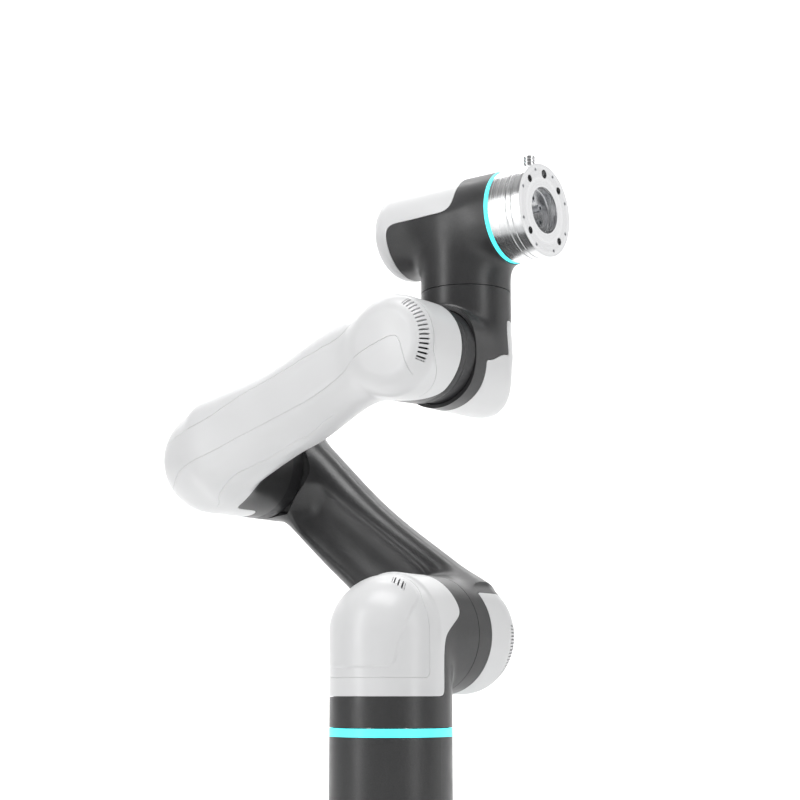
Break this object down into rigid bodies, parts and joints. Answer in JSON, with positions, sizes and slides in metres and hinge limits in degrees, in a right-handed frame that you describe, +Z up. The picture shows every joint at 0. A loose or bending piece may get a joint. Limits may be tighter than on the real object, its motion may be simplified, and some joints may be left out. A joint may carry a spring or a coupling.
{
  "type": "collaborative robot arm",
  "caption": "Six-axis collaborative robot arm: round base, shoulder, leaning upper arm, folded forearm with white shells, two wrist joints and a bolted tool flange.",
  "frame": {"origin": "centre of the base's mounting face", "axes": "+Z up along the base joint's axis, +X the way the tool flange points in the rest pose, +Y along the shoulder, elbow and first wrist axes; the rear connector panel is on the -X side"},
  "size_m": [0.2874, 0.165, 0.4883],
  "materials": {
    "charcoal_casting": "satin",
    "white_shell": "satin",
    "cyan_light": "satin",
    "turned_aluminium": "satin",
    "steel": "satin",
    "black_plastic": "matte",
    "board_green": "satin",
    "copper_windings": "satin",
    "alloy": "satin"
  },
  "bodies": {
    "base": {"base_casting": "charcoal_casting", "base_bottom_plate": "charcoal_casting", "base_light_ring": "cyan_light", "base_rear_panel": "black_plastic", "base_power_socket": "steel", "base_data_ports": "steel", "base_panel_screws": "steel", "base_control_board": "board_green", "base_drive_bearing": "steel", "base_drive_gear": "steel", "base_drive_motor": "copper_windings", "base_drive_brake": "alloy"},
    "power_button": {"power_button": "steel"},
    "shoulder": {"shoulder_casting": "charcoal_casting", "shoulder_front_cover": "white_shell", "base_drive_output": "alloy", "shoulder_drive_output": "alloy"},
    "upper_arm": {"upper_arm_casting": "charcoal_casting", "upper_arm_shoulder_cap": "white_shell", "upper_arm_elbow_cap": "white_shell", "shoulder_drive_bearing": "steel", "shoulder_drive_gear": "steel", "shoulder_drive_motor": "copper_windings", "shoulder_drive_brake": "alloy", "elbow_drive_output": "alloy"},
    "forearm": {"forearm_casting": "charcoal_casting", "forearm_cover": "white_shell", "forearm_front_panel": "white_shell", "wrist_1_neck_ring": "black_plastic", "elbow_drive_bearing": "steel", "elbow_drive_gear": "steel", "elbow_drive_motor": "copper_windings", "elbow_drive_brake": "alloy", "wrist_1_drive_output": "alloy"},
    "wrist_1": {"wrist_1_casting": "charcoal_casting", "wrist_1_cap": "white_shell", "wrist_1_drive_bearing": "steel", "wrist_1_drive_gear": "steel", "wrist_1_drive_motor": "copper_windings", "wrist_1_drive_brake": "alloy", "wrist_2_drive_output": "alloy"},
    "wrist_2": {"wrist_2_casting": "charcoal_casting", "wrist_2_cover": "white_shell", "wrist_2_light_ring": "cyan_light", "wrist_2_drive_shaft": "steel", "wrist_2_drive_bearing": "steel", "wrist_2_drive_gear": "steel", "wrist_2_drive_motor": "copper_windings", "tool_drive_bearing": "steel", "tool_drive_gear": "steel", "tool_drive_motor": "copper_windings"},
    "tool_flange": {"tool_flange": "turned_aluminium", "tool_connector": "turned_aluminium", "flange_face_screws": "steel", "flange_hub_screws": "steel", "tool_drive_output": "alloy"}
  },
  "joints": [
    {"name": "base_turn", "type": "hinge", "parent": "base", "child": "shoulder", "pos_m": [0, 0, 0.1105], "axis": [0, 0, 1], "range_deg": [-360, 360]},
    {"name": "shoulder_lift", "type": "hinge", "parent": "shoulder", "child": "upper_arm", "pos_m": [0, 0.043, 0.1695], "axis": [0, 1, 0], "range_deg": [-82, 135]},
    {"name": "elbow_fold", "type": "hinge", "parent": "upper_arm", "child": "forearm", "pos_m": [-0.16749, 0.063, 0.29617], "axis": [0, -1, 0], "range_deg": [-20, 240]},
    {"name": "wrist_1_bend", "type": "hinge", "parent": "forearm", "child": "wrist_1", "pos_m": [0.01737, 0.027, 0.35163], "axis": [0, 1, 0], "range_deg": [-70, 150]},
    {"name": "wrist_2_turn", "type": "hinge", "parent": "wrist_1", "child": "wrist_2", "pos_m": [0.01737, 0.0612, 0.40043], "axis": [0, 0, 1], "range_deg": [-173, 173]},
    {"name": "tool_turn", "type": "hinge", "parent": "wrist_2", "child": "tool_flange", "pos_m": [0.05717, 0.0612, 0.44883], "axis": [1, 0, 0], "range_deg": [-360, 360]},
    {"name": "power_press", "type": "slide", "parent": "base", "child": "power_button", "axis": [1, 0, 0], "range_m": [0, 0.0015], "stiffness_N_per_m": 1000}
  ]
}
